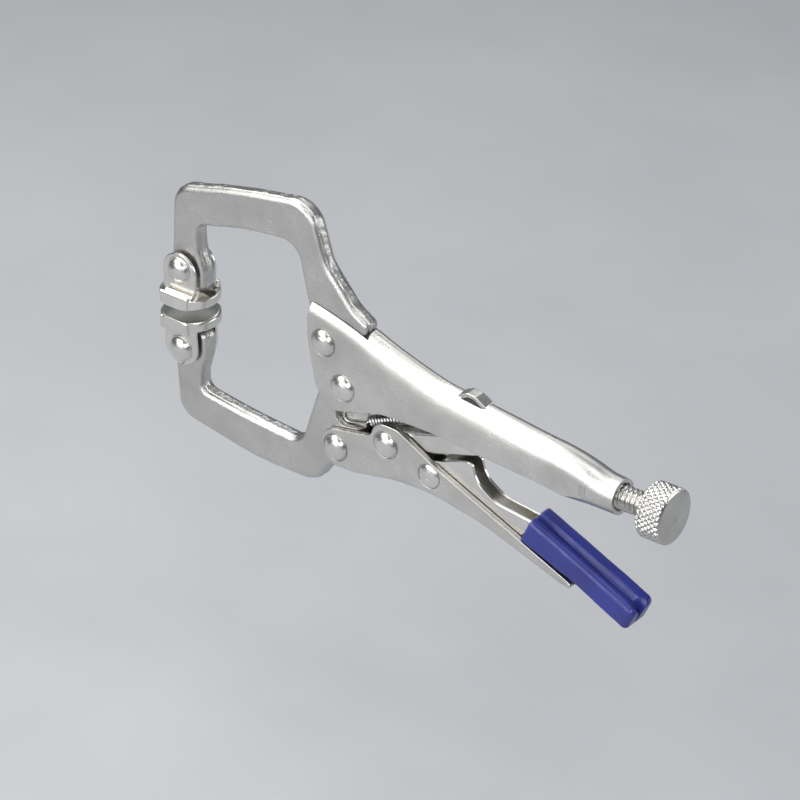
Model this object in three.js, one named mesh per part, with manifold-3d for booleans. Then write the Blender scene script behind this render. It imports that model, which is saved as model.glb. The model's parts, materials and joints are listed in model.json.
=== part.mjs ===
// Locking C-clamp pliers: two forged steel arms with swivel pads, a pressed body and handle,
// a toggle mechanism, a release lever with a dipped sleeve, and a knurled adjusting screw.
// Millimetres. The origin is the centre of the upper pad's clamping face.
// +X runs back to the adjusting screw, +Z up the clamping direction, Y across the tool.
import * as THREE from "three";
import { mergeVertices } from "three/addons/utils/BufferGeometryUtils.js";
import Module from "manifold-3d";

const wasm = await Module();
wasm.setup();

// ---------------------------------------------------------------- driving dimensions
const PAD_GAP = 6; // between the two clamping faces when the tool is locked
const CLEAR = 0.35; // running gap between neighbours
const SHEET = 2.55; // pressed steel of the handle and of the body's front
const TUBE_WALL = 1.8; // the same sheet where it is drawn out into the tail tube
const ARM_HALF = 4.5; // half width of both forged arms
const ARM_EDGE = 2; // rounding of the arms' long edges
const FRONT_HALF = 7.4; // half width of the body's front and of the handle
const TAIL_HALF = 8.4; // half width of the body's back, and radius of its tail tube
const LEVER_HALF = 4.4;
const LEVER_SHEET = 1.4;
const LINK_HALF = 4.2;

// Pivots in the tool's middle plane, as [x, z].
const ARM_RIVET = [85, 8.5];
const JAW_PIVOT = [96, -11.3];
const HANDLE_PIVOT = [91.7, -43.8];
const LINK_PIVOT = [120.7, -32];
const LEVER_PIVOT = [145.4, -39.2];
const PAD_PIVOT_HEIGHT = 17.5; // rivet above its clamping face
const EAR_INSIDE = 6.2; // the pads' ears, on both sides of the arm
const EAR_SHEET = 1.6;

// Adjusting screw, along X.
const SCREW_Z = -15.6;
const SCREW_RADIUS = 5.8;
const POINT_START = 180.2;
const POINT_LENGTH = 6;
const THREAD_START = POINT_START + POINT_LENGTH + CLEAR;
const HEAD_START = 260.5;
const HEAD_LENGTH = 13;
const HEAD_RADIUS = 13.1;
const TAIL_END = 246;
const TUBE_START = 226; // behind this the body is a closed tube
const BUSH_LENGTH = 17;

// Rivets: shank radius, head radius, head height.
const PIVOT_RIVET = { shank: 3.2, head: 6.4, rise: 2.8 };
const FLAT_RIVET = { shank: 3.2, head: 5.9, rise: 1.7 };
const PAD_RIVET = { shank: 3.2, head: 6.6, rise: 3.4 };

// Link: a bar between two round ends.
const LINK_TIP = [172, SCREW_Z];
const LINK_ROOT_RADIUS = 6;
const LINK_TIP_RADIUS = 5.4;

// Sleeve on the lever's tail, along a line that falls to the right.
const SLEEVE_START = [199.6, -46];
const SLEEVE_END = [257.2, -71.9];
const SLEEVE_HALF = 7.4;
const SLEEVE_DEPTH = 6.4;

// ---------------------------------------------------------------- small tools
function toSolid(geometry) {
  const bare = geometry.index ? geometry.toNonIndexed() : geometry;
  bare.deleteAttribute("normal");
  bare.deleteAttribute("uv");
  const merged = mergeVertices(bare, 1e-4);
  const vertProperties = new Float32Array(merged.attributes.position.array);
  const triVerts = new Uint32Array(merged.index.array);
  return new wasm.Manifold(new wasm.Mesh({ numProp: 3, vertProperties, triVerts }));
}

function toGeometry(solid) {
  const mesh = solid.getMesh();
  const geometry = new THREE.BufferGeometry();
  geometry.setAttribute("position", new THREE.BufferAttribute(mesh.vertProperties, 3));
  geometry.setIndex(new THREE.BufferAttribute(mesh.triVerts, 1));
  const flat = geometry.toNonIndexed();
  flat.computeVertexNormals();
  return flat;
}

function addAll(solids) {
  return solids.reduce((sum, solid) => sum.add(solid));
}

// A closed outline through corners [x, z, radius], each corner rounded by a true arc.
function roundedOutline(corners, step = 0.26) {
  const points = [];
  corners.forEach(([x, z, radius = 0], i) => {
    const here = new THREE.Vector2(x, z);
    if (radius === 0) {
      points.push(here);
      return;
    }
    const [px, pz] = corners[(i + corners.length - 1) % corners.length];
    const [nx, nz] = corners[(i + 1) % corners.length];
    const back = new THREE.Vector2(px - x, pz - z).normalize();
    const ahead = new THREE.Vector2(nx - x, nz - z).normalize();
    const between = Math.acos(back.dot(ahead));
    const turn = Math.PI - between;
    const toCentre = radius / Math.sin(between / 2);
    const centre = back.clone().add(ahead).normalize().multiplyScalar(toCentre).add(here);
    const tangent = back.clone().multiplyScalar(radius / Math.tan(between / 2)).add(here);
    const spoke = tangent.sub(centre);
    const side = Math.sign(ahead.clone().cross(back));
    const count = Math.max(1, Math.round(turn / step));
    for (let k = 0; k <= count; k += 1) {
      const angle = (side * turn * k) / count;
      points.push(spoke.clone().rotateAround(new THREE.Vector2(), angle).add(centre));
    }
  });
  return new THREE.Shape(points);
}

// A plate: an outline in the XZ plane, thick from y0 to y1.
function plate(shape, y0, y1) {
  const geometry = new THREE.ExtrudeGeometry(shape, { depth: y1 - y0, bevelEnabled: false });
  geometry.rotateX(Math.PI / 2);
  geometry.translate(0, y1, 0);
  return toSolid(geometry);
}

// A forging: an outline in the XZ plane, centred on the middle plane, with rounded long edges.
function forging(shape, half, edge) {
  const geometry = new THREE.ExtrudeGeometry(shape, {
    depth: 2 * (half - edge), bevelEnabled: true, bevelThickness: edge, bevelSize: edge * 0.8,
    bevelOffset: -edge * 0.8, bevelSegments: 2 });
  geometry.rotateX(Math.PI / 2);
  geometry.translate(0, half - edge, 0);
  return toSolid(geometry);
}

// A bar: an outline in the YZ plane, long from x0 to x1.
function bar(points, x0, x1) {
  const shape = new THREE.Shape(points.map(([y, z]) => new THREE.Vector2(y, z)));
  const geometry = new THREE.ExtrudeGeometry(shape, { depth: x1 - x0, bevelEnabled: false });
  geometry.rotateX(Math.PI / 2);
  geometry.rotateZ(Math.PI / 2);
  geometry.translate(x0, 0, 0);
  return toSolid(geometry);
}

function roundY([x, z], radius, y0, y1, sides = 28) {
  const geometry = new THREE.CylinderGeometry(radius, radius, y1 - y0, sides);
  geometry.translate(x, (y0 + y1) / 2, z);
  return toSolid(geometry);
}

function roundX([y, z], radius, x0, x1, sides = 32) {
  const geometry = new THREE.CylinderGeometry(radius, radius, x1 - x0, sides);
  geometry.rotateZ(Math.PI / 2);
  geometry.translate((x0 + x1) / 2, y, z);
  return toSolid(geometry);
}

function latheY(profile, sides = 24) {
  const points = profile.map(([radius, height]) => new THREE.Vector2(radius, height));
  return toSolid(new THREE.LatheGeometry(points, sides));
}

function ring(centre, radius, sides = 28) {
  const points = [];
  for (let i = 0; i < sides; i += 1) {
    const angle = (i * 2 * Math.PI) / sides;
    points.push([centre[0] + radius * Math.cos(angle), centre[1] + radius * Math.sin(angle)]);
  }
  return points;
}

// A loft through sections {x, points: [[y, z], ...]} that all have the same count of points.
function loft(sections) {
  const count = sections[0].points.length;
  const positions = [];
  const vertex = (section, i) => {
    const [y, z] = section.points[i % count];
    return [section.x, y, z];
  };
  const triangle = (a, b, c) => positions.push(...a, ...b, ...c);
  for (let s = 0; s + 1 < sections.length; s += 1) {
    for (let i = 0; i < count; i += 1) {
      const a = vertex(sections[s], i);
      const b = vertex(sections[s], i + 1);
      const c = vertex(sections[s + 1], i + 1);
      const d = vertex(sections[s + 1], i);
      triangle(a, b, c);
      triangle(a, c, d);
    }
  }
  const cap = (section, first) => {
    const flat = section.points.map(([y, z]) => new THREE.Vector2(y, z));
    THREE.ShapeUtils.triangulateShape(flat, []).forEach(([i, j, k]) => {
      const corners = [vertex(section, i), vertex(section, j), vertex(section, k)];
      triangle(...(first ? [corners[0], corners[2], corners[1]] : corners));
    });
  };
  cap(sections[0], true);
  cap(sections[sections.length - 1], false);
  const geometry = new THREE.BufferGeometry();
  geometry.setAttribute("position", new THREE.Float32BufferAttribute(positions, 3));
  return toSolid(geometry);
}

// Straight-line interpolation through a table of [x, value] knots.
function along(knots, x) {
  for (let i = 1; i < knots.length; i += 1) {
    const [x0, v0] = knots[i - 1];
    const [x1, v1] = knots[i];
    if (x <= x1) return v0 + ((v1 - v0) * (x - x0)) / (x1 - x0);
  }
  return knots[knots.length - 1][1];
}

function holesY(centres, radius, half) {
  return addAll(centres.map((centre) => roundY(centre, radius, -half, half)));
}

// ---------------------------------------------------------------- arms
const ARM_HOLE = PIVOT_RIVET.shank + CLEAR;

function fixedArm() {
  const outside = roundedOutline([
    [-8.2, 7.6, 9],
    [-5.4, 58.2, 12],
    [34, 68, 150],
    [75.5, 74.6, 14],
    [84.5, 46, 16],
    [99, 29, 20],
    [109, 23, 4],
    [104, 2, 5],
    [79, 1, 4],
    [71, 33.5, 30],
    [67.2, 52, 10],
    [36, 48.6, 90],
    [8.6, 41.6, 5.5],
    [9.2, 29, 12],
    [12.4, 19.5, 8],
    [12.6, 7.6, 4],
  ]);
  return forging(outside, ARM_HALF, ARM_EDGE)
    .subtract(holesY([ARM_RIVET, [0, PAD_PIVOT_HEIGHT]], ARM_HOLE, ARM_HALF + 1));
}

function movableJaw() {
  const padPivot = [0, -PAD_GAP - PAD_PIVOT_HEIGHT];
  const outside = roundedOutline([
    [-8.2, -PAD_GAP - 7.6, 9],
    [12.6, -PAD_GAP - 7.6, 4],
    [12.4, -PAD_GAP - 19.5, 8],
    [9.2, -PAD_GAP - 29, 12],
    [8.8, -44.6, 4.5],
    [36, -48.4, 120],
    [68.2, -50.8, 8.5],
    [78.4, -19, 60],
    [85.5, -3.2, 8],
    [104, -3.2, 9],
    [105.5, -20, 5],
    [103.5, -36, 2.5],
    [100.5, -52, 8.5],
    [89, -52.5, 4],
    [77, -70, 15],
    [42, -70.2, 120],
    [-5.4, -61.4, 11],
  ]);
  // The near half is cut away at the back, which leaves a lug for the spring's hook.
  const notch = roundedOutline([
    [89.6, -20],
    [89.6, -33.5, 5],
    [108, -31.2],
    [108, -20],
  ]);
  const hookHole = roundY([93.4, -26.4], 1.6, -1, ARM_HALF + 1, 16);
  return forging(outside, ARM_HALF, ARM_EDGE)
    .subtract(plate(notch, -ARM_HALF - 1, -0.2))
    .subtract(hookHole)
    .subtract(holesY([JAW_PIVOT, HANDLE_PIVOT, padPivot], ARM_HOLE, ARM_HALF + 1));
}

// ---------------------------------------------------------------- body
// Ridge height, lower edge and half width of the body against x.
const RIDGE = [[70, 29.2], [105, 21.5], [122, 15.6], [148, 8], [170, 5], [204, 0.6], [218, -1.2],
  [230, -4], [238, -6.4], [246, SCREW_Z + TAIL_HALF]];
const HALF_WIDTH = [[70, FRONT_HALF], [108, FRONT_HALF], [160, TAIL_HALF], [246, TAIL_HALF]];
const ARCH_RISE = [[70, 8.4], [90, 9], [105, 10.5], [122, 14], [150, 15], [190, 12], [226, TAIL_HALF],
  [246, TAIL_HALF]];
const WALL = [[70, SHEET], [120, SHEET], [200, TUBE_WALL], [246, TUBE_WALL]];
const BODY_STATIONS = [70, 90, 105, 122, 135, 148, 160, 170, 187, 204, 218, 230, 238, 246];

// An arch: a half-oval top on straight sides, down to the given floor. The inner one is a wall inside.
function archSection(x, inner, floor) {
  const inset = inner ? along(WALL, x) : 0;
  const half = along(HALF_WIDTH, x) - inset;
  const rise = along(ARCH_RISE, x) - inset;
  const spring = along(RIDGE, x) - inset - rise;
  const points = [[half, floor]];
  const steps = 14;
  for (let i = 0; i <= steps; i += 1) {
    const angle = (i * Math.PI) / steps;
    points.push([half * Math.cos(angle), spring + rise * Math.sin(angle)]);
  }
  points.push([-half, floor]);
  return { x, points };
}

function bodyArch(inner, floor, from = BODY_STATIONS[0], to = TAIL_END) {
  const between = BODY_STATIONS.filter((x) => x > from && x < to);
  return loft([from, ...between, to].map((x) => archSection(x, inner, floor)));
}

function bodyShell() {
  const side = roundedOutline([
    [77.6, 28.6, 3],
    [74.6, 14, 60],
    [81, -17.5, 16],
    [90, -25.2, 9],
    [118, -16.7, 30],
    [146, -15.6, 60],
    [203, -18.9, 60],
    [224, -21.3],
    [250, -26],
    [250, 40],
    [77.6, 40],
  ]);
  // The tail's underside is the lower half of the tube.
  const underTail = loft([
    { x: 216, points: ring([0, SCREW_Z + 2], TAIL_HALF + 3, 40) },
    { x: 236, points: ring([0, SCREW_Z], TAIL_HALF, 40) },
    { x: TAIL_END, points: ring([0, SCREW_Z], TAIL_HALF, 40) },
  ]);
  const frontKeep = plate(
    roundedOutline([[60, -60], [60, 60], [260, 60], [260, SCREW_Z], [216.5, SCREW_Z], [216.5, -60]]),
    -20, 20);
  const outer = bodyArch(false, -40).intersect(plate(side, -20, 20));
  const shaped = outer.intersect(frontKeep.add(underTail));
  const trough = bodyArch(true, -60, 60.5, TUBE_START);
  const bore = roundX([0, SCREW_Z], TAIL_HALF - TUBE_WALL, TUBE_START - 4, TAIL_END + 5);
  // The fixed arm comes up through an open slot in the front of the ridge.
  const slot = plate(
    roundedOutline([[60, -40], [60, 60], [110, 60], [110, -40]]),
    -ARM_HALF - CLEAR, ARM_HALF + CLEAR);
  // A lanced tab on the ridge: a raised bridge over a short slot.
  const tabCut = plate(roundedOutline([[160, -4], [160, 20], [172, 20], [172, -4]]), -3.4, 3.4);
  const bridge = plate(
    roundedOutline([[157.2, 5.8], [163.3, 8.7, 2], [168, 8.3, 2], [173.8, 4.5], [172, 3.2],
      [167.4, 6.3, 1], [163.9, 6.6, 1], [159.8, 3.9]]),
    -3.2, 3.2);
  const holes = holesY([ARM_RIVET, JAW_PIVOT], ARM_HOLE, 20);
  return shaped.subtract(trough).subtract(bore).subtract(slot).subtract(holes)
    .subtract(tabCut).add(bridge);
}

function tailBush() {
  const start = TAIL_END - 1 - BUSH_LENGTH;
  return roundX([0, SCREW_Z], TAIL_HALF - TUBE_WALL - CLEAR, start, start + BUSH_LENGTH)
    .subtract(roundX([0, SCREW_Z], SCREW_RADIUS + 0.3, start - 1, start + BUSH_LENGTH + 1));
}

// ---------------------------------------------------------------- handle, link and lever
function movableHandle() {
  const outside = roundedOutline([
    [83.2, -36, 8],
    [112, -30.4, 5],
    [114.5, -22, 7],
    [127, -22, 7],
    [150, -34, 60],
    [222, -64.6, 3],
    [227.6, -68.6, 1.5],
    [218.6, -68.4, 8],
    [176, -54.2, 40],
    [146, -48.8, 60],
    [126, -49.4, 40],
    [100, -54.6, 20],
    [84.4, -53.6, 8],
  ]);
  const hollow = roundedOutline([
    [70, -10],
    [240, -10],
    [240, -70.6],
    [219.6, -66.3, 8],
    [176.6, -52.2, 40],
    [146, -46.8, 60],
    [126, -47.4, 40],
    [100, -52.6],
    [101, -60],
    [70, -60],
  ]);
  const inner = FRONT_HALF - SHEET;
  return plate(outside, -FRONT_HALF, FRONT_HALF)
    .subtract(plate(hollow, -inner, inner))
    .subtract(holesY([HANDLE_PIVOT, LINK_PIVOT, LEVER_PIVOT], ARM_HOLE, 20));
}

function toggleLink() {
  const [rx, rz] = LINK_PIVOT;
  const [tx, tz] = LINK_TIP;
  const run = new THREE.Vector2(tx - rx, tz - rz).normalize();
  const normal = new THREE.Vector2(-run.y, run.x);
  const corner = ([x, z], radius, side, reach) => [
    x + normal.x * radius * side + run.x * reach,
    z + normal.y * radius * side + run.y * reach,
    radius * 0.96,
  ];
  const outline = roundedOutline([
    corner(LINK_PIVOT, LINK_ROOT_RADIUS, 1, -LINK_ROOT_RADIUS),
    corner(LINK_TIP, LINK_TIP_RADIUS, 1, LINK_TIP_RADIUS),
    corner(LINK_TIP, LINK_TIP_RADIUS, -1, LINK_TIP_RADIUS),
    corner(LINK_PIVOT, LINK_ROOT_RADIUS, -1, -LINK_ROOT_RADIUS),
  ]);
  return plate(outline, -LINK_HALF, LINK_HALF)
    .subtract(holesY([LINK_PIVOT], ARM_HOLE, 20));
}

function releaseLever() {
  const outside = roundedOutline([
    [139.6, -33.6, 4],
    [148.2, -32, 1.5],
    [157.8, -28.2, 20],
    [167, -25.4, 2.5],
    [169.4, -34.6, 12],
    [180, -41.6, 14],
    [201, -44, 10],
    [254.2, -67.4, 2],
    [252, -72, 2],
    [197.4, -50.2, 1],
    [194.6, -54.4, 1.5],
    [176, -47.6, 20],
    [152, -44.6, 20],
    [139.6, -44.8, 5],
  ]);
  const hollow = roundedOutline([
    [130, -20],
    [262, -20],
    [262, -74.6],
    [196.6, -48.2, 0.5],
    [193.2, -52.4, 0.5],
    [176.2, -46.1, 20],
    [152, -43.2, 20],
    [130, -43.2],
  ]);
  return plate(outside, -LEVER_HALF, LEVER_HALF)
    .subtract(plate(hollow, -LEVER_HALF + LEVER_SHEET, LEVER_HALF - LEVER_SHEET))
    .subtract(holesY([LEVER_PIVOT], ARM_HOLE, 20));
}

// A fat rounded bar with a blind pocket for the lever's tail.
function leverSleeve() {
  const [sx, sz] = SLEEVE_START;
  const [ex, ez] = SLEEVE_END;
  const length = Math.hypot(ex - sx, ez - sz);
  const slope = Math.atan2(ez - sz, ex - sx);
  const body = new THREE.ExtrudeGeometry(
    new THREE.Shape(roundedOutline([
      [-SLEEVE_HALF, -SLEEVE_DEPTH, 3.5],
      [SLEEVE_HALF, -SLEEVE_DEPTH, 3.5],
      [SLEEVE_HALF, SLEEVE_DEPTH, 4.5],
      [-SLEEVE_HALF, SLEEVE_DEPTH, 4.5],
    ], 0.4).getPoints()),
    { depth: length - 4, bevelEnabled: true, bevelThickness: 2, bevelSize: 2, bevelOffset: -2,
      bevelSegments: 2 });
  body.translate(0, 0, 2);
  body.rotateX(Math.PI / 2);
  body.rotateZ(Math.PI / 2);
  body.rotateY(-slope);
  body.translate(sx, 0, sz);
  const pocketReach = CLEAR;
  const pocket = plate(
    roundedOutline([[186, -34], [201, -43.7 + pocketReach], [255.4, -66.9 + pocketReach],
      [252.6, -72.6 - pocketReach], [197, -50 - pocketReach], [186, -52]]),
    -LEVER_HALF - pocketReach, LEVER_HALF + pocketReach);
  return toSolid(body).subtract(pocket);
}

// ---------------------------------------------------------------- screw, spring, rivets, pads
function screwPoint() {
  return roundX([0, SCREW_Z], SCREW_RADIUS - 1.2, POINT_START, POINT_START + POINT_LENGTH, 24);
}

function adjustingScrew() {
  const shank = roundX([0, SCREW_Z], SCREW_RADIUS, THREAD_START, HEAD_START + 1);
  const head = latheY([
    [0, HEAD_START],
    [HEAD_RADIUS - 1.2, HEAD_START],
    [HEAD_RADIUS, HEAD_START + 1.2],
    [HEAD_RADIUS, HEAD_START + HEAD_LENGTH - 0.9],
    [HEAD_RADIUS - 0.8, HEAD_START + HEAD_LENGTH],
    [0, HEAD_START + HEAD_LENGTH],
  ], 40).rotate([0, 0, -90]).translate([0, 0, SCREW_Z]);
  return shank.add(head);
}

function returnSpring() {
  const start = new THREE.Vector3(108, 0, -26);
  const end = new THREE.Vector3(158, 0, -5.5);
  const path = new THREE.LineCurve3(start, end);
  const shape = new THREE.Shape(ring([0, 0], 2.6, 10).map(([x, y]) => new THREE.Vector2(x, y)));
  return toSolid(new THREE.ExtrudeGeometry(shape, {
    steps: 1, extrudePath: path, bevelEnabled: false }));
}

// A domed rivet across the tool, its heads resting just outside the given half width.
function rivet([x, z], half, { shank, head, rise }) {
  const seat = half + CLEAR;
  const dome = [[0, seat + rise], [head * 0.5, seat + rise * 0.86], [head * 0.84, seat + rise * 0.5],
    [head, seat + rise * 0.12], [head, seat], [shank, seat]];
  const mirrored = dome.slice().reverse().map(([radius, height]) => [radius, -height]);
  return latheY([...mirrored.reverse(), ...dome.slice().reverse()]).translate([x, 0, z]);
}

const earOutside = EAR_INSIDE + EAR_SHEET;

// A stamped pad: a shallow round dish with two ears that hold the arm between them.
function swivelPad() {
  const radius = 14.6;
  const flat = 12.6;
  const wall = 1.5;
  const rim = 5;
  const dish = latheY([
    [0, 0], [radius - 0.8, 0], [radius, 0.8], [radius, rim], [radius - wall, rim],
    [radius - wall, wall + 0.3], [0, wall + 0.3],
  ], 36).rotate([90, 0, 0]);
  const trim = plate(roundedOutline([[-20, -1], [20, -1], [20, 40], [-20, 40]]), -flat, flat);
  // The side walls stand on the flats, then step in to the ears.
  const wallProfile = [
    [flat, 0.6], [flat, rim + 0.4], [earOutside, rim + 2.6], [earOutside, 14],
    [EAR_INSIDE, 14], [EAR_INSIDE, rim + 1.4], [flat - wall, rim - 0.8], [flat - wall, 0.6],
  ];
  const nearProfile = wallProfile.map(([y, z]) => [-y, z]);
  const ear = roundedOutline([
    [-10.4, 7.4, 1], [10.4, 7.4, 1],
    [10.4, PAD_PIVOT_HEIGHT + 8.6, 9.9], [-10.4, PAD_PIVOT_HEIGHT + 8.6, 9.9],
  ]);
  const solids = [
    dish.intersect(trim),
    bar(wallProfile, -8, 8),
    bar(nearProfile, -8, 8),
    plate(ear, EAR_INSIDE, earOutside),
    plate(ear, -earOutside, -EAR_INSIDE),
  ];
  return addAll(solids).subtract(holesY([[0, PAD_PIVOT_HEIGHT]], ARM_HOLE, 20));
}

// ---------------------------------------------------------------- materials and scene
const NICKEL = { color: 0xb9b6af, metalness: 1, roughness: 0.34 };
const BRIGHT = { color: 0xc4c1ba, metalness: 1, roughness: 0.26 };
const SPRING_STEEL = { color: 0xa9a7a2, metalness: 1, roughness: 0.3 };
const BLUE_VINYL = { color: 0x2a3796, metalness: 0, roughness: 0.34 };

const tool = new THREE.Group();
tool.name = "locking_c_clamp";

function place(name, solid, finish, z = 0) {
  const mesh = new THREE.Mesh(toGeometry(solid), new THREE.MeshStandardMaterial(finish));
  mesh.name = name;
  mesh.position.z = z;
  tool.add(mesh);
}

const lowerPad = swivelPad().rotate([180, 0, 0]);
const lowerPivot = [0, -PAD_GAP - PAD_PIVOT_HEIGHT];

place("body_shell", bodyShell(), NICKEL);
place("fixed_arm", fixedArm(), NICKEL);
place("fixed_arm_rivet", rivet(ARM_RIVET, FRONT_HALF, PIVOT_RIVET), BRIGHT);
place("movable_jaw", movableJaw(), NICKEL);
place("jaw_pivot_rivet", rivet(JAW_PIVOT, FRONT_HALF, PIVOT_RIVET), BRIGHT);
place("movable_handle", movableHandle(), NICKEL);
place("handle_pivot_rivet", rivet(HANDLE_PIVOT, FRONT_HALF, PIVOT_RIVET), BRIGHT);
place("toggle_link", toggleLink(), BRIGHT);
place("link_pivot_rivet", rivet(LINK_PIVOT, FRONT_HALF, PIVOT_RIVET), BRIGHT);
place("release_lever", releaseLever(), BRIGHT);
place("lever_pivot_rivet", rivet(LEVER_PIVOT, FRONT_HALF, FLAT_RIVET), BRIGHT);
place("lever_sleeve", leverSleeve(), BLUE_VINYL);
place("tail_bush", tailBush(), BRIGHT);
place("adjusting_screw", adjustingScrew(), BRIGHT);
place("screw_point", screwPoint(), BRIGHT);
place("return_spring", returnSpring(), SPRING_STEEL);
place("upper_pad", swivelPad(), BRIGHT);
place("upper_pad_rivet", rivet([0, PAD_PIVOT_HEIGHT], earOutside, PAD_RIVET), BRIGHT);
place("lower_pad", lowerPad, BRIGHT, -PAD_GAP);
place("lower_pad_rivet", rivet(lowerPivot, earOutside, PAD_RIVET), BRIGHT);

export default tool;
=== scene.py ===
"""Looks of the locking C-clamp pliers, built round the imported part.

Helper lengths are millimetres in the part's own frame; meshes are stored in metres.
"""

import json
import math

import bmesh
import bpy
import numpy as np
from mathutils import Matrix, Vector, noise


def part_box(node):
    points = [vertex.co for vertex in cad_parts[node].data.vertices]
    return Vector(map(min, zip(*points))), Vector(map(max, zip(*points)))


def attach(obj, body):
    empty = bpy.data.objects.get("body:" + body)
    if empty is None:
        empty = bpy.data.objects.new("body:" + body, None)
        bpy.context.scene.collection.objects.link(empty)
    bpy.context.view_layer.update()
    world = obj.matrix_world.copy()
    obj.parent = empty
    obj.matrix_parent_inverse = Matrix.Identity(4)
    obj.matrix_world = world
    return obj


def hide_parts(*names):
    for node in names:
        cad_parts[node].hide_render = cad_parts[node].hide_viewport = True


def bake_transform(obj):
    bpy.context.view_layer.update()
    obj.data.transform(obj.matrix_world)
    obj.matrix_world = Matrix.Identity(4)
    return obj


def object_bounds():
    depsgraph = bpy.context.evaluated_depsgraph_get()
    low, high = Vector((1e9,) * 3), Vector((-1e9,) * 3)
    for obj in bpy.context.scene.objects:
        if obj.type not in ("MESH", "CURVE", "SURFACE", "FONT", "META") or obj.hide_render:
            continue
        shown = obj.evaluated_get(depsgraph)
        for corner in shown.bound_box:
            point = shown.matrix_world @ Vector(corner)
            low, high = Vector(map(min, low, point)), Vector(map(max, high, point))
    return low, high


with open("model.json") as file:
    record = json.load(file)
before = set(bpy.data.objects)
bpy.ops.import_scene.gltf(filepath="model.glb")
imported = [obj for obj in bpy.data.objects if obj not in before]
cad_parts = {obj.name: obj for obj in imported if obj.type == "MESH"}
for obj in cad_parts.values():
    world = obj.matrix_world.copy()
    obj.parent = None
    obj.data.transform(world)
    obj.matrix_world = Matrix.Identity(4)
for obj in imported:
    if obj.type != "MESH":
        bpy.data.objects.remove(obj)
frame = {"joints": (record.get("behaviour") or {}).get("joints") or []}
cad_low, cad_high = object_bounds()
MM = 0.001

# ---------------------------------------------------------------- driving dimensions, in mm
SHEET = 2.55
TUBE_WALL = 1.8
ARM_HALF = 4.5
FRONT_HALF = 7.4
TAIL_HALF = 8.4
LEVER_HALF = 4.4
LEVER_SHEET = 1.4
LINK_HALF = 4.2
EDGE = 0.35  # rounding of a cut sheet edge
BEND = 2.3  # outside radius where a web turns into a flange
INNER_BEND = 0.7
SEAT = 0.5  # depth of the pressed ring each rivet head sits in
SEAT_RADIUS = 6.95
RIVET_HOLE = 3.25  # radius of every rivet hole
THREAD_PITCH = 2.5
PAD_EYE = 17.5  # from a pad's clamping face up to its rivet
PAD_GAP = 6.0  # between the two clamping faces at rest
EAR_IN, EAR_OUT = 6.2, 7.8  # faces of a pad's ears
HOOK_HOLE = (93.4, -26.4)  # where the spring hooks into the jaw
FLOOR_DROP = 115.0  # from the tool's lowest point at rest to the floor

joints = {joint["name"]: joint for joint in frame["joints"]}


def pivot(joint_name):
    """The joint's place in the tool's middle plane, as (x, z)."""
    x, _, z = joints[joint_name]["pos_m"]
    return (x / MM, z / MM)


def middle(node):
    """A node's middle in the tool's middle plane, as (x, z)."""
    low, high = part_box(node)
    centre = (low + high) / 2 / MM
    return (centre.x, centre.z)


def span(node, axis):
    """Lowest and highest value of a node along axis 0, 1 or 2."""
    low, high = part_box(node)
    return low[axis] / MM, high[axis] / MM


ARM_RIVET = middle("fixed_arm_rivet")
JAW_PIVOT = pivot("jaw_pivot")
HANDLE_PIVOT = pivot("handle_pivot")
LINK_PIVOT = pivot("link_pivot")
LEVER_PIVOT = pivot("lever_pivot")
UPPER_PAD_PIVOT = pivot("upper_pad_pivot")
LOWER_PAD_PIVOT = pivot("lower_pad_pivot")
SCREW_Z = middle("adjusting_screw")[1]
TAIL_END = span("body_shell", 0)[1]
POINT_START, POINT_END = span("screw_point", 0)
THREAD_START, HEAD_END = span("adjusting_screw", 0)
HEAD_LENGTH = 13
HEAD_START = HEAD_END - HEAD_LENGTH
HEAD_RADIUS = 13.1


# ---------------------------------------------------------------- mesh tools
def make_object(name, vertices, faces):
    mesh = bpy.data.meshes.new(name)
    mesh.from_pydata((np.asarray(vertices, float) * MM).tolist(), [], faces)
    work = bmesh.new()
    work.from_mesh(mesh)
    bmesh.ops.recalc_face_normals(work, faces=work.faces)
    work.to_mesh(mesh)
    work.free()
    made = bpy.data.objects.new(name, mesh)
    bpy.context.scene.collection.objects.link(made)
    return made


def skin(name, rings):
    """A closed body through rings of points, with a flat face at each end."""
    rings = np.asarray(rings, float)
    count, around = rings.shape[:2]
    faces = []
    for ring in range(count - 1):
        start = ring * around
        for i in range(around):
            j = (i + 1) % around
            faces.append((start + i, start + j, start + around + j, start + around + i))
    faces.append(tuple(range(around))[::-1])
    faces.append(tuple(range((count - 1) * around, count * around)))
    return make_object(name, rings.reshape(-1, 3), faces)


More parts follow.
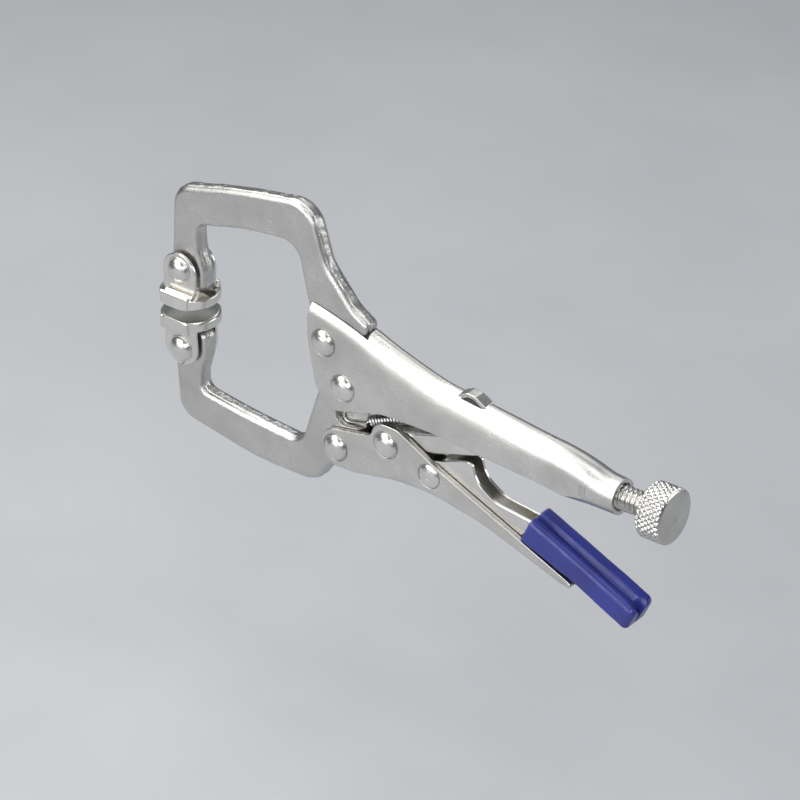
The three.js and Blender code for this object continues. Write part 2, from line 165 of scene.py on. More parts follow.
def rounded(corners, turn_step=0.13, spacing=2.0):
    """A closed outline through corners (x, z, radius, edge): arcs at the corners and split straights.

    The fourth number is the rounding of the body's edge there. It runs evenly from corner to corner.
    """
    arcs = []
    total = len(corners)
    full = [list(corner) + [0.0, EDGE][len(corner) - 2:] for corner in corners]
    for i, (x, z, radius, edge) in enumerate(full):
        here = np.array([x, z], float)
        if radius == 0:
            arcs.append((np.array([here]), edge))
            continue
        back = np.array(full[i - 1][:2], float) - here
        ahead = np.array(full[(i + 1) % total][:2], float) - here
        back /= np.linalg.norm(back)
        ahead /= np.linalg.norm(ahead)
        between = math.acos(max(-1.0, min(1.0, back @ ahead)))
        bisector = (back + ahead) / np.linalg.norm(back + ahead)
        centre = here + bisector * radius / math.sin(between / 2)
        spoke = here + back * radius / math.tan(between / 2) - centre
        side = np.sign(ahead[0] * back[1] - ahead[1] * back[0])
        turn = math.pi - between
        steps = max(1, round(turn / turn_step))
        points = []
        for k in range(steps + 1):
            angle = side * turn * k / steps
            c, s = math.cos(angle), math.sin(angle)
            points.append(centre + [c * spoke[0] - s * spoke[1], s * spoke[0] + c * spoke[1]])
        arcs.append((np.array(points), edge))
    points, edges = [], []
    for i, (arc, edge) in enumerate(arcs):
        following, next_edge = arcs[(i + 1) % total]
        points.extend(arc)
        edges.extend([edge] * len(arc))
        gap = following[0] - arc[-1]
        splits = int(np.linalg.norm(gap) / spacing)
        for k in range(1, splits + 1):
            share = k / (splits + 1)
            points.append(arc[-1] + gap * share)
            edges.append(edge + (next_edge - edge) * share)
    return np.array(points), np.array(edges)


def outward(points):
    """Mitred outward direction at each point of a closed outline."""
    ahead = np.roll(points, -1, 0) - points
    ahead /= np.linalg.norm(ahead, axis=1)[:, None]
    area = np.sum(points[:, 0] * np.roll(points[:, 1], -1) - points[:, 1] * np.roll(points[:, 0], -1))
    normal = np.column_stack([ahead[:, 1], -ahead[:, 0]]) * np.sign(area)
    both = normal + np.roll(normal, 1, 0)
    return both * 2 / np.maximum(np.sum(both * both, 1), 0.5)[:, None]


def slab(name, corners, half, y_middle=0.0, steps=5, turn_step=0.13):
    """An outline in the XZ plane made thick along Y, its edges rounded as the corners say."""
    points, edges = rounded(corners, turn_step)
    normals = outward(points)
    edges = np.minimum(edges, half * 0.98)
    rings = []
    for side in (-1, 1):
        turns = np.linspace(0, math.pi / 2, steps + 1)
        if side > 0:
            turns = turns[::-1]
        for turn in turns:
            inset = (edges * (1 - math.sin(turn)))[:, None]
            flat = points - normals * inset
            y = y_middle + side * (half - edges * (1 - math.cos(turn)))
            rings.append(np.column_stack([flat[:, 0], y, flat[:, 1]]))
    return skin(name, rings)


def carve(made, tool, operation="DIFFERENCE"):
    modifier = made.modifiers.new("carve", "BOOLEAN")
    modifier.operation = operation
    modifier.solver = "EXACT"
    modifier.object = tool
    bpy.context.view_layer.update()
    graph = bpy.context.evaluated_depsgraph_get()
    mesh = bpy.data.meshes.new_from_object(made.evaluated_get(graph), depsgraph=graph)
    made.modifiers.clear()
    old = made.data
    made.data = mesh
    bpy.data.meshes.remove(old)
    bpy.data.objects.remove(tool)
    return made


def circle(centre, radius, sides):
    angles = np.arange(sides) * 2 * math.pi / sides
    return np.column_stack([centre[0] + radius * np.cos(angles), centre[1] + radius * np.sin(angles)])


def pin(centre, radius, y0, y1, sides=40):
    """A plain round cutter across the tool."""
    flat = circle(centre, radius, sides)
    return skin("pin", [np.column_stack([flat[:, 0], np.full(sides, y), flat[:, 1]]) for y in (y0, y1)])


def rod(centre, radius, x0, x1, sides=64):
    """A plain round cutter along X, its centre given as (y, z)."""
    flat = circle(centre, radius, sides)
    return skin("rod", [np.column_stack([np.full(sides, x), flat]) for x in (x0, x1)])


def block(low, high):
    x = [low[0], high[0]]
    flat = [(low[1], low[2]), (high[1], low[2]), (high[1], high[2]), (low[1], high[2])]
    return skin("block", [[(at, y, z) for y, z in flat] for at in x])


def drill(made, *centres):
    """Rivet holes right through a piece."""
    for centre in centres:
        carve(made, pin(centre, RIVET_HOLE, -10, 10))


def rivet_seats(made, centres, half, seat_radius=SEAT_RADIUS):
    """Rivet holes, with a shallow ring pressed into both outer faces round each one."""
    for centre in centres:
        carve(made, pin(centre, RIVET_HOLE, -half - 1, half + 1))
        for side in (-1, 1):
            flat = circle(centre, seat_radius, 56)
            small = circle(centre, seat_radius - 0.25, 56)
            rows = [(flat, side * (half + 1)), (flat, side * (half - 0.04)), (small, side * (half - SEAT))]
            carve(made, skin("seat", [np.column_stack([ring[:, 0], np.full(56, y), ring[:, 1]])
                                      for ring, y in rows]))


def channel(name, outside, hollow, half, wall):
    """A pressed channel: the outside slab less the hollow slab."""
    made = slab(name, outside, half)
    carve(made, slab("hollow", hollow, half - wall, steps=3))
    return made


def forging(name, corners, half, edge, seed):
    """A drop forging: rounded faces, drafted sides and a rough trimmed band where the dies met."""
    points, _ = rounded(corners, turn_step=0.08, spacing=0.8)
    normals = outward(points)
    levels = []
    for turn in np.linspace(0, math.pi / 2, 9):
        levels.append((half - edge * (1 - math.cos(turn)), 0.42 + edge * (1 - math.sin(turn)), 0.05))
    # The trimmed band, as (half thickness, inset, roughness).
    levels += [(2.0, 0.3, 0.05), (1.75, 0.05, 0.2), (1.45, -0.1, 0.32), (0.9, -0.05, 0.36),
               (0.3, -0.02, 0.36)]
    levels = [(-y, inset, rough) for y, inset, rough in levels] + levels[::-1]
    rings = []
    for y, inset, rough in levels:
        ring = []
        for (x, z), (across, up) in zip(points, normals):
            wide = noise.noise(Vector((x * 0.16, y * 0.2 + seed * 7.3, z * 0.16)))
            small = noise.noise(Vector((x * 0.9, y * 1.4 + seed * 3.1, z * 0.9)))
            move = -inset + rough * (0.7 * wide + small)
            sway = 0.9 * wide if rough > 0.1 else 0.0
            ring.append((x + across * move, y + sway, z + up * move))
        rings.append(ring)
    return skin(name, rings)


def smooth(made, angle=32.0, weighted=True):
    mesh = made.data
    work = bmesh.new()
    work.from_mesh(mesh)
    bmesh.ops.remove_doubles(work, verts=work.verts, dist=1e-6)
    work.to_mesh(mesh)
    work.free()
    mesh.shade_smooth()
    mesh.set_sharp_from_angle(angle=math.radians(angle))
    if weighted:
        modifier = made.modifiers.new("weighted", "WEIGHTED_NORMAL")
        modifier.keep_sharp = True
        modifier.weight = 80
    return made


def curve_through(knots, x):
    """A smooth curve through a table of (x, value) knots."""
    xs = np.array([knot[0] for knot in knots], float)
    values = np.array([knot[1] for knot in knots], float)
    slopes = np.gradient(values, xs)
    x = min(max(x, xs[0]), xs[-1])
    i = min(max(int(np.searchsorted(xs, x)) - 1, 0), len(xs) - 2)
    width = xs[i + 1] - xs[i]
    t = (x - xs[i]) / width
    return (
        (1 + 2 * t) * (1 - t) ** 2 * values[i]
        + t * (1 - t) ** 2 * width * slopes[i]
        + t * t * (3 - 2 * t) * values[i + 1]
        + t * t * (t - 1) * width * slopes[i + 1]
    )


def ease(value):
    value = min(max(value, 0.0), 1.0)
    return value * value * (3 - 2 * value)


# ---------------------------------------------------------------- materials
def new_material(name):
    material = bpy.data.materials.new(name)
    material.use_nodes = True
    tree = material.node_tree
    shader = tree.nodes["Principled BSDF"]
    return material, tree, shader


def add_node(tree, kind, settings=None, **inputs):
    node = tree.nodes.new(kind)
    for key, value in (settings or {}).items():
        setattr(node, key, value)
    for key, value in inputs.items():
        socket = node.inputs[int(key[1:])] if key[0] == "i" and key[1:].isdigit() else node.inputs[key]
        if isinstance(value, bpy.types.NodeSocket):
            tree.links.new(value, socket)
        else:
            socket.default_value = value
    return node


def noise_node(tree, where, scale, detail=4.0, rough=0.55):
    return add_node(tree, "ShaderNodeTexNoise", Vector=where, Scale=scale, Detail=detail, Roughness=rough)


def remap(tree, value, low, high, to_low, to_high):
    node = add_node(tree, "ShaderNodeMapRange", i0=value, i1=low, i2=high, i3=to_low, i4=to_high)
    return node.outputs[0]


def mix_colour(tree, share, first, second):
    node = add_node(tree, "ShaderNodeMix", {"data_type": "RGBA"})
    for socket, value in ((node.inputs[0], share), (node.inputs[6], first), (node.inputs[7], second)):
        if isinstance(value, bpy.types.NodeSocket):
            tree.links.new(value, socket)
        else:
            socket.default_value = value
    return node.outputs[2]


def maths(tree, operation, first, second=0.0, third=0.0):
    node = add_node(tree, "ShaderNodeMath", {"operation": operation}, i0=first, i1=second, i2=third)
    return node.outputs[0]


def plated_steel(name, colour, roughness, grain=1.0, wear=0.5, edge_radius=0.35):
    """Satin nickel plate: fine grain, faint cloudy tone, drawing marks, and bright rubbed edges."""
    material, tree, shader = new_material(name)
    place = add_node(tree, "ShaderNodeTexCoord").outputs["Object"]
    cloud = noise_node(tree, place, 55.0, 3.0).outputs[0]
    fine = noise_node(tree, place, 1500.0, 3.0, 0.6).outputs[0]
    grit = noise_node(tree, place, 3600.0, 2.0, 0.5).outputs[0]
    stretched = add_node(tree, "ShaderNodeMapping", Vector=place, Scale=(120.0, 900.0, 900.0)).outputs[0]
    marks = noise_node(tree, stretched, 1.0, 4.0, 0.7).outputs[0]

    corner = add_node(tree, "ShaderNodeBevel", {"samples": 6}, Radius=edge_radius * MM).outputs[0]
    plain = add_node(tree, "ShaderNodeNewGeometry").outputs["Normal"]
    facing = add_node(tree, "ShaderNodeVectorMath", {"operation": "DOT_PRODUCT"}, i0=corner, i1=plain)
    edge = remap(tree, facing.outputs["Value"], 0.995, 0.88, 0.0, 1.0)
    patchy = remap(tree, fine, 0.35, 0.6, 0.3, 1.0)
    rubbed = maths(tree, "MULTIPLY", edge, patchy)
    rubbed = maths(tree, "MULTIPLY", rubbed, wear)

    shade = remap(tree, cloud, 0.3, 0.7, 0.0, 1.0)
    dark = tuple(c * 0.86 for c in colour) + (1,)
    light = tuple(min(1.0, c * 1.06) for c in colour) + (1,)
    tone = mix_colour(tree, shade, dark, light)
    speck = remap(tree, grit, 0.62, 0.72, 0.0, 0.35)
    tone = mix_colour(tree, speck, tone, tuple(c * 0.72 for c in colour) + (1,))
    tone = mix_colour(tree, rubbed, tone, tuple(min(1.0, c * 1.25) for c in colour) + (1,))
    tree.links.new(tone, shader.inputs["Base Color"])
    shader.inputs["Metallic"].default_value = 1.0

    rough = remap(tree, marks, 0.3, 0.7, roughness * 0.95, roughness * 1.05)
    rough = maths(tree, "MULTIPLY_ADD", shade, -0.05, rough)
    rough = maths(tree, "MULTIPLY_ADD", rubbed, -0.12, rough)
    tree.links.new(rough, shader.inputs["Roughness"])

    height = maths(tree, "MULTIPLY_ADD", grit, 0.45, fine)
    bump = add_node(
        tree, "ShaderNodeBump", Strength=0.22 * grain, Distance=0.0002, Height=height, Normal=corner)
    tree.links.new(bump.outputs[0], shader.inputs["Normal"])
    return material


def dipped_vinyl(name, colour):
    """Soft dipped vinyl: deep colour, faint mottling, slight orange peel and a few rubbed places."""
    material, tree, shader = new_material(name)
    place = add_node(tree, "ShaderNodeTexCoord").outputs["Object"]
    cloud = noise_node(tree, place, 70.0, 3.0).outputs[0]
    peel = noise_node(tree, place, 420.0, 3.0, 0.5).outputs[0]
    stretched = add_node(tree, "ShaderNodeMapping", Vector=place, Scale=(60.0, 500.0, 300.0)).outputs[0]
    streak = noise_node(tree, stretched, 1.0, 4.0, 0.6).outputs[0]
    shade = remap(tree, cloud, 0.3, 0.7, 0.0, 1.0)
    tone = mix_colour(
        tree, shade, tuple(c * 0.8 for c in colour) + (1,), tuple(c * 1.15 for c in colour) + (1,))
    scuff = remap(tree, streak, 0.58, 0.75, 0.0, 0.18)
    tone = mix_colour(tree, scuff, tone, (colour[0] * 2.4, colour[1] * 2.2, colour[2] * 1.3, 1))
    tree.links.new(tone, shader.inputs["Base Color"])
    rough = remap(tree, streak, 0.3, 0.7, 0.27, 0.36)
    tree.links.new(rough, shader.inputs["Roughness"])
    shader.inputs["Specular IOR Level"].default_value = 0.55
    shader.inputs["Coat Weight"].default_value = 0.15
    shader.inputs["Coat Roughness"].default_value = 0.25
    height = maths(tree, "MULTIPLY_ADD", streak, 0.4, peel)
    bump = add_node(tree, "ShaderNodeBump", Strength=0.16, Distance=0.0003, Height=height)
    tree.links.new(bump.outputs[0], shader.inputs["Normal"])
    return material


def floor_paper(name):
    material, tree, shader = new_material(name)
    place = add_node(tree, "ShaderNodeTexCoord").outputs["Object"]
    cloud = noise_node(tree, place, 6.0, 3.0).outputs[0]
    shade = remap(tree, cloud, 0.3, 0.7, 0.0, 1.0)
    tone = mix_colour(tree, shade, (0.4, 0.41, 0.43, 1), (0.44, 0.45, 0.47, 1))
    tree.links.new(tone, shader.inputs["Base Color"])
    shader.inputs["Roughness"].default_value = 0.8
    return material


NICKEL = plated_steel("satin_nickel", (0.64, 0.627, 0.60), 0.31, grain=2.2)
FORGED = plated_steel("forged_nickel", (0.59, 0.58, 0.56), 0.31, grain=3.0, wear=0.7, edge_radius=0.5)
BRIGHT_NICKEL = plated_steel("bright_nickel", (0.74, 0.726, 0.695), 0.24, grain=0.8)
RIVET_NICKEL = plated_steel("rivet_nickel", (0.72, 0.71, 0.68), 0.26, grain=0.9)
TURNED_STEEL = plated_steel("turned_steel", (0.58, 0.57, 0.545), 0.26, grain=0.9, wear=0.9, edge_radius=0.18)
WIRE = plated_steel("spring_wire_steel", (0.68, 0.675, 0.66), 0.22, grain=0.5, edge_radius=0.1)
VINYL = dipped_vinyl("blue_vinyl_skin", (0.018, 0.026, 0.205))


def dress(piece, material, body, slot, *nodes):
    piece.data.materials.clear()
    piece.data.materials.append(material)
    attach(piece, body)
    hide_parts(*nodes)
    return piece


# ---------------------------------------------------------------- arms
def upper_arm():
    outside = [
        (-8.2, 7.6, 9),
        (-5.4, 58.2, 12),
        (34, 68, 150),
        (75.5, 74.6, 14),
        (84.5, 46, 16),
        (99, 29, 20),
        (109, 23, 4),
        (104, 2, 5),
        (79, 1, 4),
        (71, 33.5, 30),
        (67.2, 52, 10),
        (36, 48.6, 90),
        (8.6, 41.6, 5.5),
        (9.2, 29, 12),
        (12.4, 19.5, 8),
        (12.6, 7.6, 4),
    ]
    made = forging("forged_upper_arm", outside, ARM_HALF, 2.3, 1)
    drill(made, ARM_RIVET, UPPER_PAD_PIVOT)
    return dress(smooth(made, 50), FORGED, "body", "forged_steel", "fixed_arm")


def lower_jaw():
    top = LOWER_PAD_PIVOT[1] + 9.9
    outside = [
        (-8.2, top, 9),
        (12.6, top, 4),
        (12.4, -25.5, 8),
        (9.2, -35, 12),
        (8.8, -44.6, 4.5),
        (36, -48.4, 120),
        (68.2, -50.8, 8.5),
        (78.4, -19, 60),
        (85.5, -3.2, 8),
        (104, -3.2, 9),
        (105.5, -20, 5),
        (103.5, -36, 3.2),
        (100.5, -52, 8.5),
        (89, -52.5, 4),
        (77, -70, 15),
        (42, -70.2, 120),
        (-5.4, -61.4, 11),
    ]
    made = forging("forged_lower_jaw", outside, ARM_HALF, 2.3, 2)
    notch = [(89.6, -20), (89.6, -33.5, 5), (108, -31.2), (108, -20)]
    carve(made, slab("notch", notch, 2.7, y_middle=-2.9))
    carve(made, pin(HOOK_HOLE, 1.6, -1, ARM_HALF + 1, 24))
    drill(made, JAW_PIVOT, HANDLE_PIVOT, LOWER_PAD_PIVOT)
    return dress(smooth(made, 50), FORGED, "jaw", "forged_steel", "movable_jaw")


# ---------------------------------------------------------------- body
# The pressed body along its length, each as (x, value): the ridge's height, half the width, how far the
# arch rises above its straight sides, and the wall.
RIDGE = [(70, 29.6), (88, 25.9), (105, 21.5), (122, 15.6), (135, 11.6), (148, 8), (160, 6.2), (170, 5),
         (187, 2.9), (204, 0.6), (218, -1.2), (230, -4), (238, -6.4), (246, SCREW_Z + TAIL_HALF)]
HALF_WIDTH = [(70, FRONT_HALF), (108, FRONT_HALF), (134, 7.9), (160, TAIL_HALF), (246, TAIL_HALF)]
ARCH_RISE = [(70, 8.6), (90, 9.2), (108, 12.5), (125, 17.5), (150, 18.5), (190, 15), (226, TAIL_HALF),
             (246, TAIL_HALF)]
WALL = [(70, SHEET), (120, SHEET), (200, TUBE_WALL), (246, TUBE_WALL)]
TUBE_START = 226


def arch(x, inner, floor, steps=36):
    """A half oval on straight sides, down to the floor."""
    inset = curve_through(WALL, x) if inner else 0.0
    half = curve_through(HALF_WIDTH, x) - inset
    rise = curve_through(ARCH_RISE, x) - inset
    spring_line = curve_through(RIDGE, x) - inset - rise
    points = [(x, half, floor)]
    for k in range(steps + 1):
        angle = k * math.pi / steps
        points.append((x, half * math.cos(angle), spring_line + rise * math.sin(angle)))
    points.append((x, -half, floor))
    return points


def arch_body(name, inner, floor, x0, x1, step=2.6):
    count = int((x1 - x0) / step)
    return skin(name, [arch(x0 + (x1 - x0) * k / count, inner, floor) for k in range(count + 1)])


def pressed_body():
    made = arch_body("pressed_body", False, -40, 70, TAIL_END)
    side = [
        (77.6, 28.6, 3),
        (74.6, 14, 60),
        (81, -17.5, 16),
        (90, -25.2, 9),
        (118, -16.7, 30),
        (146, -15.6, 60),
        (203, -18.9, 60),
        (224, -21.3, 20),
        (250, -26),
        (250, 40),
        (77.6, 40),
    ]
    carve(made, slab("side", side, 20), "INTERSECT")

    def under_ring(x):
        share = ease((x - 214) / 20)
        return np.column_stack([
            np.full(72, x), circle((0, SCREW_Z + 2 * (1 - share)), TAIL_HALF + 3 * (1 - share), 72)])

    stations = [190] + list(np.linspace(214, 234, 14)) + [TAIL_END + 1]
    keep = skin("keep", [under_ring(x) for x in stations])
    carve(keep, block((60, -20, -60), (216.5, 20, 60)), "UNION")
    carve(keep, block((60, -21, SCREW_Z), (260, 21, 61)), "UNION")
    carve(made, keep, "INTERSECT")
    carve(made, arch_body("trough", True, -60, 60.5, TUBE_START))
    carve(made, rod((0, SCREW_Z), TAIL_HALF - TUBE_WALL, TUBE_START - 4, TAIL_END + 5))
    gap = ARM_HALF + 0.35
    carve(made, block((60, -gap, -40), (108.9, gap, 60)))
    rivet_seats(made, [ARM_RIVET, JAW_PIVOT], FRONT_HALF)
    # The lanced tab: a raised bridge over a short slot.
    carve(made, slab("tab_cut", [(160, -4, 1), (160, 20, 1), (172, 20, 1), (172, -4, 1)], 3.4))
    bridge = [(157.4, 5.6, 1), (162.8, 8.2, 2.6), (167.6, 7.9, 2.6), (174.2, 3.9, 1), (172, 2.6, 0.5),
              (167.0, 6.0, 1.2), (163.5, 6.2, 1.2), (159.6, 3.9, 0.5)]
    carve(made, slab("bridge", bridge, 3.1, steps=4), "UNION")
    # Three short press marks on each flank near the tail.
    for k in range(3):
        for side in (-1, 1):
            start = 228.4 + 1.3 * k
            mark = [(start, -18.2, 0, 0), (start + 0.3, -12.0, 0, 0), (start + 0.75, -12.0, 0, 0),
                    (start + 0.45, -18.2, 0, 0)]
            carve(made, slab("mark", mark, 0.5, y_middle=side * (TAIL_HALF + 0.27)))
    return dress(smooth(made, 28), NICKEL, "body", "pressed_steel", "body_shell")


def bush():
    low, high = span("tail_bush", 0)
    outer = TAIL_HALF - TUBE_WALL - 0.06
    inner = 6.05
    profile = [(low, inner), (low, outer), (high - 0.5, outer), (high, outer - 0.5), (high, inner + 0.4),
               (high - 0.4, inner), (low, inner)]
    rings = []
    for x, radius in profile:
        flat = circle((0, SCREW_Z), radius, 72)
        rings.append(np.column_stack([np.full(72, x), flat]))
    points = np.array(rings)
    count, around = points.shape[:2]
    faces = []
    for ring in range(count - 1):
        for i in range(around):
            j = (i + 1) % around
            faces.append((ring * around + i, ring * around + j, (ring + 1) * around + j,
                          (ring + 1) * around + i))
    made = make_object("tail_ring", points.reshape(-1, 3), faces)
    return dress(smooth(made), TURNED_STEEL, "body", "screw_steel", "tail_bush")


# ---------------------------------------------------------------- handle, link and lever
def main_handle():
    outside = [
        (83.2, -36, 8),
        (112, -30.4, 5),
        (114.5, -22, 7),
        (127, -22, 7),
        (150, -34, 60),
        (222, -64.6, 3),
        (227.6, -68.6, 1.5, 0.8),
        (218.6, -68.4, 8, BEND),
        (176, -54.2, 40, BEND),
        (146, -48.8, 60, BEND),
        (126, -49.4, 40, BEND),
        (100, -54.6, 20, BEND),
        (84.4, -53.6, 8, 1.2),
    ]
    hollow = [
        (70, -10),
        (240, -10),
        (240, -70.6),
        (219.6, -66.3, 8, INNER_BEND),
        (176.6, -52.2, 40, INNER_BEND),
        (146, -46.8, 60, INNER_BEND),
        (126, -47.4, 40, INNER_BEND),
        (100, -52.6, 0, INNER_BEND),
        (101, -60),
        (70, -60),
    ]
    made = channel("pressed_handle", outside, hollow, FRONT_HALF, SHEET)
    rivet_seats(made, [HANDLE_PIVOT, LINK_PIVOT], FRONT_HALF)
    rivet_seats(made, [LEVER_PIVOT], FRONT_HALF, 6.2)
    return dress(smooth(made), NICKEL, "handle", "pressed_steel", "movable_handle")


def link_bar():
    tip = np.array([172.0, SCREW_Z])
    root = np.array(LINK_PIVOT)
    run = (tip - root) / np.linalg.norm(tip - root)
    up = np.array([-run[1], run[0]])
    corners = []
    ends = ((root, 5.6, 1, -1), (tip, 5.4, 1, 1), (tip, 5.4, -1, 1), (root, 5.6, -1, -1))
    for centre, radius, side, reach in ends:
        place = centre + up * radius * side + run * radius * reach
        corners.append((place[0], place[1], radius * 0.96, 2.2))
    made = slab("toggle_bar", corners, LINK_HALF, steps=8)
    drill(made, LINK_PIVOT)
    return dress(smooth(made), BRIGHT_NICKEL, "link", "bright_steel", "toggle_link")


def trigger_lever():
    outside = [
        (139.6, -33.6, 4),
        (148.2, -32, 1.5),
        (157.8, -28.2, 20),
        (167, -25.4, 2.5),
        (169.4, -34.6, 12),
        (180, -41.6, 14),
        (201, -44, 10),
        (254.2, -67.4, 2),
        (252, -72, 2, 1.2),
        (197.4, -50.2, 1.5, 0.8),
        (194.6, -54.4, 2, 1.0),
        (176, -47.6, 20, 1.5),
        (152, -44.6, 20, 1.5),
        (139.6, -44.8, 5, 1.0),
    ]
    hollow = [
        (130, -20),
        (262, -20),
        (262, -74.6),
        (196.6, -48.2, 1.0, 0.4),
        (193.2, -52.4, 1.2, 0.4),
        (176.2, -46.1, 20, 0.5),
        (152, -43.2, 20, 0.5),
        (130, -43.2, 0, 0.5),
    ]
    made = channel("stamped_lever", outside, hollow, LEVER_HALF, LEVER_SHEET)
    drill(made, LEVER_PIVOT)
    for k in range(5):
        carve(made, pin((142.6 + 1.3 * k, -33.0 + 0.22 * k + 0.25), 0.42, -5, 5, 12))
    return dress(smooth(made), BRIGHT_NICKEL, "lever", "bright_steel", "release_lever")


def vinyl_grip():
    start = np.array([199.6, -46.0])
    end = np.array([257.2, -71.9])
    length = np.linalg.norm(end - start)
    run = (end - start) / length
    up = np.array([-run[1], run[0]])
    # The section: a broad near ridge, a valley, and a flat far ridge with a crisp inner edge.
    section, _ = rounded([
        (7.4, -7.2, 1.2), (7.4, 6.3, 2.2), (1.5, 6.0, 0.6), (-0.9, 3.4, 1.6), (-3.6, 6.3, 3.0),
        (-7.4, 3.6, 3.6), (-7.4, -7.2, 1.2)], turn_step=0.12, spacing=0.6)
    rings = []
    stations = [0.0, 0.1, 0.3, 0.6, 1.0, 1.6] + list(np.linspace(2.6, length - 8, 40))
    stations += list(length - np.array([7.0, 6.0, 5.0, 4.0, 3.2, 2.5, 1.9, 1.4, 1.0, 0.6, 0.3, 0.1, 0.0]))
    for s in stations:
        lead = min(1.0, s)
        left = min(1.0, (length - s) / 3.0)
        size = (0.88 + 0.12 * math.sqrt(1 - (1 - lead) ** 2)) * (0.74 + 0.26 * math.sqrt(1 - (1 - left) ** 2))
        flare = 1 + 0.03 * ease((s - 30) / 25)
        valley = 0.9 * ease((s - 3) / 14) + 7.2 * ease((s - (length - 6.5)) / 6.5)
        wave = 0.12 * math.sin(s * 0.31) + 0.07 * math.sin(s * 0.83 + 1.1)
        sag = 0.35 * math.sin(s * 0.05)
        ring = []
        for y, z in section:
            torn = 0.25 * noise.noise(Vector((y * 0.5, z * 0.5, s * 0.5))) * ease((s - (length - 4)) / 3)
            across = (y + wave * 0.4 * np.sign(y)) * size * flare + torn
            rise = z * size * flare + torn
            if z < 0:
                # The part over the handle reaches down to the handle's edge.
                rise *= 1 - 0.11 * ease((s - 20) / 10)
                rise -= 0.8 * (1 - ease(s / 22)) * min(1.0, -z / 3)
            if z > 0:
                width = 1.9 + 0.5 * ease((s - 6) / 30)
                rise -= valley * math.exp(-((y + 0.9) / width) ** 2) * min(1.0, z / 3)
            place = start + run * s + up * (rise + sag)
            ring.append((place[0], across, place[1]))
        rings.append(ring)
    made = skin("vinyl_grip", rings)
    return dress(smooth(made, 50, weighted=False), VINYL, "lever", "blue_vinyl", "lever_sleeve")


# ---------------------------------------------------------------- screw
def x_ring(x, radius, sides, wobble=None):
    angles = np.arange(sides) * 2 * math.pi / sides
    radii = np.full(sides, float(radius)) if wobble is None else radius + wobble(angles)
    return np.column_stack([np.full(sides, x), radii * np.cos(angles), SCREW_Z + radii * np.sin(angles)])


def turned_screw():
    """A threaded shank and a diamond-knurled head, turned from one bar."""
    sides = 288
    crest, root = 5.8, 4.75
    rings = []

    def thread(x, depth):
        def wobble(angles):
            phase = (x / THREAD_PITCH - angles / (2 * math.pi)) % 1.0
            v = np.abs(phase * 2 - 1)
            return -depth * np.clip(v * 1.5 - 0.28, 0, 1)
        return wobble

    thread_end = HEAD_START - 1.8
    count = int((thread_end - THREAD_START) / (THREAD_PITCH / 9))
    for k in range(count + 1):
        x = THREAD_START + (thread_end - THREAD_START) * k / count
        fade = min(ease((x - THREAD_START) / 2.0), ease((thread_end - x) / 1.2))
        top = crest - 0.5 * (1 - ease(x - THREAD_START))
        rings.append(x_ring(x, top, sides, thread(x, (crest - root) * fade)))
    rings.append(x_ring(thread_end + 0.05, 5.35, sides))
    rings.append(x_ring(thread_end + 0.7, 5.35, sides))
    rings.append(x_ring(thread_end + 0.85, 6.1, sides))
    rings.append(x_ring(HEAD_START - 0.02, 6.25, sides))

    # Diamond knurl: two crossing sets of raised cords round sunk diamonds.
    starts = 30
    row = 3.3
    deep = 0.75
    rings.append(x_ring(HEAD_START, 11.1, sides))
    rings.append(x_ring(HEAD_START + 0.25, 11.7, sides))
    grid = int(round(HEAD_LENGTH / (row / 10)))
    for k in range(grid):
        x = HEAD_START + 0.55 + (HEAD_END - 0.5 - HEAD_START - 0.55) * k / (grid - 1)
        shoulder = min((x - HEAD_START - 0.2) / 1.3, (HEAD_END - 0.1 - x) / 0.8, 1.0)
        envelope = HEAD_RADIUS - 1.0 * (1 - ease(shoulder))

        def knurl(angles, x=x, shoulder=shoulder):
            turns = angles / (2 * math.pi) * starts
            u = (turns + x / row) % 1.0
            v = (turns - x / row) % 1.0
            cord = np.maximum(np.abs(2 * u - 1), np.abs(2 * v - 1))
            return (np.clip((cord - 0.35) / 0.5, 0, 1) - 1) * deep * min(1.0, max(0.0, shoulder * 1.3))

        rings.append(x_ring(x, envelope, sides, knurl))
    rings.append(x_ring(HEAD_END - 0.35, 12.0, sides))
    rings.append(x_ring(HEAD_END - 0.1, 11.7, sides))
    rings.append(x_ring(HEAD_END, 11.3, sides))
    # The end face with its turning rings and a shallow centre dimple.
    for radius in np.linspace(10.4, 2.9, 26):
        ripple = 0.02 * math.sin(radius * 5.5)
        rings.append(x_ring(HEAD_END - 0.02 + ripple, radius, sides))
    for radius, drop in ((2.5, 0.06), (2.1, 0.2), (1.6, 0.36), (1.0, 0.46), (0.4, 0.5), (0.1, 0.5)):
        rings.append(x_ring(HEAD_END - 0.03 - drop, radius, sides))
    made = smooth(skin("turned_screw", rings), 38, weighted=False)
    return dress(made, TURNED_STEEL, "screw_turn", "screw_steel", "adjusting_screw")


def screw_tip():
    radius = 4.6
    profile = [(POINT_START + 1.5 * (1 - math.cos(a)), radius - 1.5 * (1 - math.sin(a)))
               for a in np.linspace(0.05, math.pi / 2, 8)]
    profile += [(POINT_END - 1.2, radius), (POINT_END - 1.0, radius - 0.35), (POINT_END - 0.1, radius - 0.35),
                (POINT_END, radius - 0.1)]
    made = skin("screw_tip", [x_ring(x, r, 96) for x, r in profile])
    return dress(smooth(made), TURNED_STEEL, "screw_travel", "screw_steel", "screw_point")


